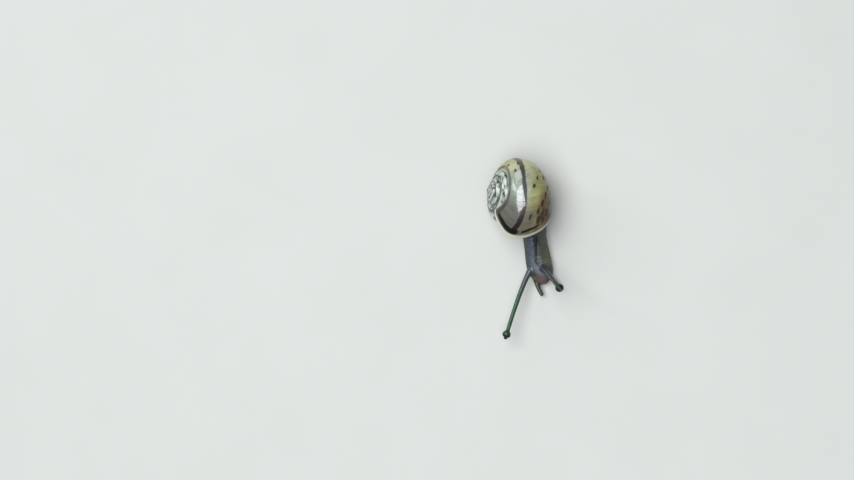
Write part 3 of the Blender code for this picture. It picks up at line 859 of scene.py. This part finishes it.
def distance_to_eyes(points):
    gaps = []
    for side in ("right", "left"):
        centre = sum((Vector(corner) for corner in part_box("eye_" + side)), Vector()) / 2
        gaps.append(np.linalg.norm(points - np.array(centre) / MM, axis=1))
    return np.minimum(*gaps)


def close_sockets(points):
    """Draws the skin of each knob in around its eye, so that no gap shows."""
    for side in ("right", "left"):
        low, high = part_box("eye_" + side)
        centre = np.array((Vector(low) + Vector(high)) / 2) / MM
        radius = (high[2] - low[2]) / 2 / MM
        away = points - centre
        reach = np.linalg.norm(away, axis=1)
        pull = smooth_step((radius + SOCKET_REACH - reach) / (0.6 * SOCKET_REACH))
        wanted = reach + (0.97 * radius - reach) * pull
        points = centre + away * (wanted / np.maximum(reach, 1e-6))[:, None]
    return points


def sculpt_mouth(points, normals):
    """Cuts the slit of the mouth, the cleft above it, and the fold around the lips."""
    low, high = (np.array(corner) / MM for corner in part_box("mouth"))
    middle = (low + high) / 2
    x = points[:, 0] - middle[0]
    z = points[:, 2]
    ahead = smooth_step((high[1] + 0.2 - points[:, 1]) / 0.5)
    ahead = ahead * smooth_step(-normals[:, 1] / 0.5)
    slit_line = MOUTH_HEIGHT - MOUTH_DROOP * (x / MOUTH_HALF_WIDTH) ** 2
    slit = line_dip(z - slit_line, SLIT_WIDTH)
    slit = slit * smooth_step((MOUTH_HALF_WIDTH - np.abs(x)) / 0.2)
    cleft = line_dip(x, CLEFT_WIDTH)
    cleft = cleft * smooth_step((z - slit_line) / 0.1) * smooth_step((CLEFT_TOP - z) / 0.4)
    lips = np.hypot(x / LIPS_HALF_WIDTH, (z - slit_line - 0.05) / LIPS_HALF_HEIGHT)
    fold = line_dip(lips - 1.0, LIPS_EDGE)
    depth = MOUTH_DEPTH * (slit + 0.5 * cleft + 0.45 * fold)
    return points - normals * (ahead * depth)[:, None]


def build_mantle():
    """The swollen edge of the mantle that fills the shell's mouth around the body."""
    bpy.ops.mesh.primitive_uv_sphere_add(segments=72, ring_count=24, radius=1.0)
    mantle = bpy.context.active_object
    mantle.name = "mantle_edge"
    ball = points_of(mantle)
    turn = np.mod(np.arctan2(ball[:, 1], ball[:, 0]) / TURN, 1.0)
    front = ball[:, 2]
    swell = MANTLE_SWELL * smooth_step(front / 0.5) * smooth_step((1.0 - front) / 0.3)
    growth = -MANTLE_DEPTH + MANTLE_THICKNESS * np.minimum(front - 1.0, 0.0) + swell
    reach = np.sqrt(np.maximum(1.0 - front**2, 0.0)) ** 0.5
    across = MANTLE_START + (MANTLE_END - MANTLE_START) * turn / MANTLE_ARC
    lip = wall_point(growth, np.minimum(across, MANTLE_END))
    start = wall_point(growth, np.full_like(growth, MANTLE_START))
    end = wall_point(growth, np.full_like(growth, MANTLE_END))
    back = np.maximum(turn - MANTLE_ARC, 0.0) / (1.0 - MANTLE_ARC)
    chord = end + (start - end) * back[:, None]
    edge = np.where((turn > MANTLE_ARC)[:, None], chord, lip)
    half = np.ones_like(growth)
    middle = spiral_point(growth - 0.4 * LIP_SLANT, SECTION_OFFSET * half, -SECTION_DROP * half)
    inward = middle - edge
    inward = inward / np.linalg.norm(inward, axis=1)[:, None]
    edge = edge + inward * (0.8 * WALL)
    set_points(mantle, (middle + (edge - middle) * reach[:, None]) / MM)
    return mantle


def cast_flesh():
    """All flesh as one surface, with the thin cuts between its pieces closed."""
    skin = joined_copy(FLESH)
    mantle = build_mantle()
    only(skin, mantle)
    bpy.ops.object.join()
    skin.name = "skin"
    skin.data.materials.clear()
    apply_modifier(skin, "DISPLACE", strength=CLOSING, mid_level=0.0)
    apply_modifier(skin, "REMESH", mode="VOXEL", voxel_size=VOXEL)
    apply_modifier(skin, "SMOOTH", factor=0.5, iterations=8)
    apply_modifier(skin, "DISPLACE", strength=-CLOSING, mid_level=0.0)
    apply_modifier(skin, "SMOOTH", factor=0.5, iterations=3)
    return skin


def tissue_shares(points, ends):
    """How far each point belongs to the mantle, the upper and the lower feelers."""
    gaps = [gap_to(points, names) for names in (BODY, COLLAR, UPPER_FEELERS, LOWER_FEELERS)]
    nearest = np.argmin(gaps, axis=0)
    nearest[np.min(gaps, axis=0) > 2.0 * VOXEL] = 1
    return [soften(nearest == number, ends, MASK_ROUNDS) for number in (1, 2, 3)]


def round_feelers(points, normals, ends, upper, lower, knob):
    """Fills the feelers out, and rounds their roots, tips and knobs."""
    filled = FEELER_FILL * np.clip(upper + lower, 0.0, 1.0) * (1.0 - knob)
    points = points + normals * filled[:, None]
    root = (upper > 0.05) & (upper < 0.95)
    root = np.clip(6.0 * soften(root, ends, ROOT_ROUNDS), 0.0, 1.0)
    for rounds, share in ((ROOT_ROUNDS, root), (TIP_ROUNDS, np.maximum(knob, lower))):
        rounded = np.column_stack([soften(values, ends, rounds) for values in points.T])
        points = points + (rounded - points) * share[:, None]
    return points


def skin_cells(points, small):
    """Height and tone of the tubercles: coarse ones, or fine ones where small is 1."""
    shuffle = np.random.default_rng(SKIN_SEED)
    coarse, coarse_tone = tubercles(points, BACK_TUBERCLE, shuffle)
    fine, fine_tone = tubercles(points, FINE_TUBERCLE, shuffle)
    return coarse + (fine - coarse) * small, coarse_tone + (fine_tone - coarse_tone) * small


def neck_stripe(aside, y, upward):
    """Where the dark stripe along the top of the neck lies."""
    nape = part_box("neck")[1][1] / MM
    half_width = 0.3 + 0.2 * smooth_step((y - nape + 0.9) / 1.2)
    on_top = smooth_step((upward - 0.1) / 0.4)
    return smooth_step((half_width - np.abs(aside)) / 0.2) * on_top


def fringe_relief(x, y, z, upward, body):
    """The fringe round the sole, and the depth of its upper groove and its furrows."""
    fringe = smooth_step((FRINGE_HEIGHT - z) / 0.08) * body
    steep = 1.0 - smooth_step((upward - 0.5) / 0.3)
    groove = line_dip(z - FRINGE_HEIGHT, 0.06) * body * steep
    furrow = np.abs(np.sin(math.pi * y / FURROW_SPACING + 0.8 * np.sin(7.0 * y + x))) ** 0.5
    return fringe, FRINGE_DEPTH * (groove + 0.8 * fringe * (1.0 - furrow))


def build_skin():
    """The flesh with its tubercles, grooves and furrows, and masks for its colours."""
    skin = cast_flesh()
    points = points_of(skin)
    normals = normals_of(skin)
    ends = edges_of(skin)
    x, y, z = points.T
    upward = normals[:, 2]

    collar, upper, lower = tissue_shares(points, ends)
    body = 1.0 - np.clip(collar + upper + lower, 0.0, 1.0)
    knob = smooth_step((KNOB_REACH - distance_to_eyes(points)) / 0.25)
    points = round_feelers(points, normals, ends, upper, lower, knob)
    set_points(skin, points)
    normals = normals_of(skin)

    feeler = np.clip(upper + lower, 0.0, 1.0)
    mouth_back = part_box("mouth")[1][1] / MM
    muzzle = smooth_step((mouth_back + 0.6 - y) / 0.5) * body
    raised, tone = skin_cells(points, np.maximum(feeler, muzzle))
    aside = stripe_offset(points)
    neck = smooth_step((NECK_START - y) / NECK_FADE)
    stripe = neck_stripe(aside, y, upward)
    plain = 1.0 - 0.7 * stripe * neck

    depth = BACK_DEPTH * body * (1.0 - 0.4 * muzzle)
    depth = depth + FEELER_DEPTH * feeler * (1.0 - knob) + COLLAR_DEPTH * collar
    sunk = depth * plain * (1.0 - raised)
    on_back = smooth_step(upward / 0.4) * body
    for side in (-1.0, 1.0):
        groove = line_dip(aside - side * BACK_GROOVE, BACK_GROOVE_WIDTH)
        sunk = sunk + BACK_GROOVE_DEPTH * on_back * groove
    sunk = sunk + ROOT_FOLD_DEPTH * 4.0 * upper * (1.0 - upper) * body
    fringe, fringe_depth = fringe_relief(x, y, z, upward, body)
    sunk = sunk * (1.0 - 0.6 * fringe) + fringe_depth
    above_sole = smooth_step((z - 0.02) / SOLE_EDGE)
    points = points - normals * (sunk * above_sole)[:, None]
    points = close_sockets(points)
    points = sculpt_mouth(points, normals)
    set_points(skin, points * MM)

    head_front = (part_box("head")[0][1] - 0.2 * MM) / MM
    upper_tint = soften(upper, ends, TINT_ROUNDS)
    root = smooth_step((y - head_front + 2.1) / 1.4) * np.clip(2.0 * upper_tint, 0.0, 1.0)
    masks = {
        "collar": collar,
        "upper": upper_tint,
        "root": root,
        "lower": lower,
        "knob": knob,
        "tone": tone,
        # Painted shade: darker in the hollows between the tubercles.
        "groove": (1.0 - raised) * (1.0 - knob) * plain,
        "stripe": stripe,
        # Lavender grey on the snail's right of the stripe: partly the skin's own tone, partly a painted
        # sky reflection.
        "painted_sheen": smooth_step((-aside - 0.25) / 0.25) * smooth_step((1.55 + aside) / 0.5),
        # Painted light: a lighter olive on the snail's left side, for light coming through the flesh.
        "flank_painted_light": smooth_step((aside - 1.0) / 0.7),
        # Painted shade: dark green along the snail's right side.
        "edge": smooth_step((-aside - 1.35) / 0.4),
        "muzzle": smooth_step((head_front + 1.0 - y) / 0.8) * body,
        "neck": neck,
        "fringe": fringe,
    }
    for name, values in masks.items():
        set_attribute(skin, name, values)
    apply_modifier(skin, "DECIMATE", ratio=SKIN_SHARE)
    bpy.ops.object.shade_smooth()
    return skin


# ---------------------------------------------------------------- skin finish


FLESH_GREY = (0.06, 0.066, 0.052, 1.0)
NECK_GREY = (0.062, 0.064, 0.056, 1.0)
STRIPE_BLUE = (0.002, 0.004, 0.01, 1.0)

# Tints laid over each other in this order, those of the neck first: the mask, its
# colour, and how far it covers.
NECK_TINTS = (
    # Painted light through the flesh, lighter olive on the snail's left side.
    ("flank_painted_light", (0.085, 0.1, 0.045, 1.0), 0.9),
    # Lavender grey, partly the skin's own tone and partly a painted sky reflection.
    ("painted_sheen", (0.068, 0.08, 0.118, 1.0), 0.85),
    # Painted shade, dark green along the snail's right side.
    ("edge", (0.012, 0.032, 0.018, 1.0), 0.85),
)
MUZZLE_BROWN = (0.09, 0.052, 0.05, 1.0)
SKIN_TINTS = (
    ("fringe", (0.1, 0.105, 0.075, 1.0), 0.6),
    ("collar", (0.036, 0.046, 0.012, 1.0), 1.0),
    ("upper", (0.005, 0.05, 0.015, 1.0), 1.0),
    ("root", (0.028, 0.036, 0.042, 1.0), 1.0),
    ("lower", (0.011, 0.027, 0.005, 1.0), 1.0),
    ("knob", (0.002, 0.008, 0.004, 1.0), 1.0),
)


def build_skin_material():
    material, tree, shader = new_material("moist_skin")
    place = object_place(tree)
    broad = noise_value(tree, place, 500.0, 4.0)
    fine = noise_value(tree, place, 5000.0, 3.0)
    neck = attribute(tree, "neck")

    colour = blend(tree, neck, FLESH_GREY, NECK_GREY)
    for name, tint, share in NECK_TINTS:
        colour = blend(tree, product(tree, attribute(tree, name), neck, share), colour, tint)
    colour = blend(tree, product(tree, attribute(tree, "muzzle"), 0.8), colour, MUZZLE_BROWN)
    stripe_mask = product(tree, attribute(tree, "stripe"), neck, 0.95)
    colour = blend(tree, stripe_mask, colour, STRIPE_BLUE)
    for name, tint, share in SKIN_TINTS:
        colour = blend(tree, product(tree, attribute(tree, name), share), colour, tint)

    mottle = maths(tree, "MULTIPLY_ADD", broad, 0.9, 0.55)
    cell = maths(tree, "MULTIPLY_ADD", attribute(tree, "tone"), 0.4, 0.8)
    # Painted shade in the hollows between the tubercles.
    groove = maths(tree, "MULTIPLY_ADD", attribute(tree, "groove"), -0.45, 1.0)
    colour = blend(tree, 1.0, colour, grey(tree, product(tree, mottle, cell, groove)), "MULTIPLY")

    # The feelers are wetter than the body, except for their knobs.
    wet = ramp(tree, broad, 0.35, 0.65, 0.34, 0.5)
    shiny = maths(tree, "ADD", attribute(tree, "upper"), attribute(tree, "lower"))
    shiny = maths(tree, "SUBTRACT", shiny, attribute(tree, "knob"))
    shiny = maths(tree, "MAXIMUM", shiny, 0.0)
    shiny = maths(tree, "MULTIPLY_ADD", attribute(tree, "root"), 0.6, shiny)
    feed(tree, shader, {
        "Base Color": colour,
        "Roughness": maths(tree, "MULTIPLY_ADD", fine, 0.12, wet),
        "Normal": bump(tree, fine, 0.35, 0.006 * MM),
        "Coat Weight": maths(tree, "MULTIPLY_ADD", shiny, 0.35, 0.04),
        "Coat Roughness": 0.1,
        "Specular IOR Level": 0.25,
        "Subsurface Weight": 0.12,
        "Subsurface Scale": 0.3 * MM,
    })
    return material


# ---------------------------------------------------------------- eyes


EYE_BULGE = 0.12
EYE_RING = (0.02, 0.035, 0.015, 1.0)
EYE_BLACK = (0.003, 0.003, 0.003, 1.0)


def build_eye(side):
    """The eye's bead, drawn out a little into a clear dome away from its feeler."""
    low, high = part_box("eye_" + side)
    centre = (Vector(low) + Vector(high)) / 2
    radius = (high[2] - low[2]) / 2
    bpy.ops.mesh.primitive_uv_sphere_add(segments=48, ring_count=32, radius=radius)
    eye = bpy.context.active_object
    eye.name = "eyeball_" + side
    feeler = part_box("upper_feeler_" + side)
    away = centre - (Vector(feeler[0]) + Vector(feeler[1])) / 2
    turn = np.array(away.to_track_quat("Z", "Y").to_matrix())
    points = points_of(eye)
    facing = points[:, 2] / radius
    width = 1.0 - EYE_BULGE * smooth_step(facing)
    points[:, 0] *= width
    points[:, 1] *= width
    set_points(eye, points @ turn.T + np.array(centre))
    set_attribute(eye, "facing", facing)
    bpy.ops.object.shade_smooth()
    return eye


def build_eye_material():
    material, tree, shader = new_material("wet_eye")
    place = object_place(tree)
    cloud = noise_value(tree, place, 3000.0, 3.0)
    facing = maths(tree, "MULTIPLY_ADD", cloud, 0.25, attribute(tree, "facing"))
    front = ramp(tree, facing, 0.2, 0.55)
    dullness = ramp(tree, facing, 0.45, 0.85, 0.5, 0.05)
    feed(tree, shader, {
        "Base Color": blend(tree, front, EYE_RING, EYE_BLACK),
        "Roughness": maths(tree, "MULTIPLY_ADD", cloud, 0.08, dullness),
        "Coat Weight": ramp(tree, facing, 0.6, 0.9, 0.0, 0.7),
        "Coat Roughness": 0.03,
        "Specular IOR Level": 0.25,
    })
    return material


def place_piece(piece, material, slot, *nodes):
    piece.data.materials.clear()
    piece.data.materials.append(material)
    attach(piece, "root")
    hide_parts(*nodes)


def main():
    build_camera()
    build_floor()
    build_world()
    for light in LIGHTS:
        build_light(*light)
    place_piece(build_shell(), build_shell_material(), "shell", "shell")
    place_piece(build_skin(), build_skin_material(), "skin", *FLESH)
    eye_finish = build_eye_material()
    for side in ("right", "left"):
        place_piece(build_eye(side), eye_finish, "eye", "eye_" + side)


main()
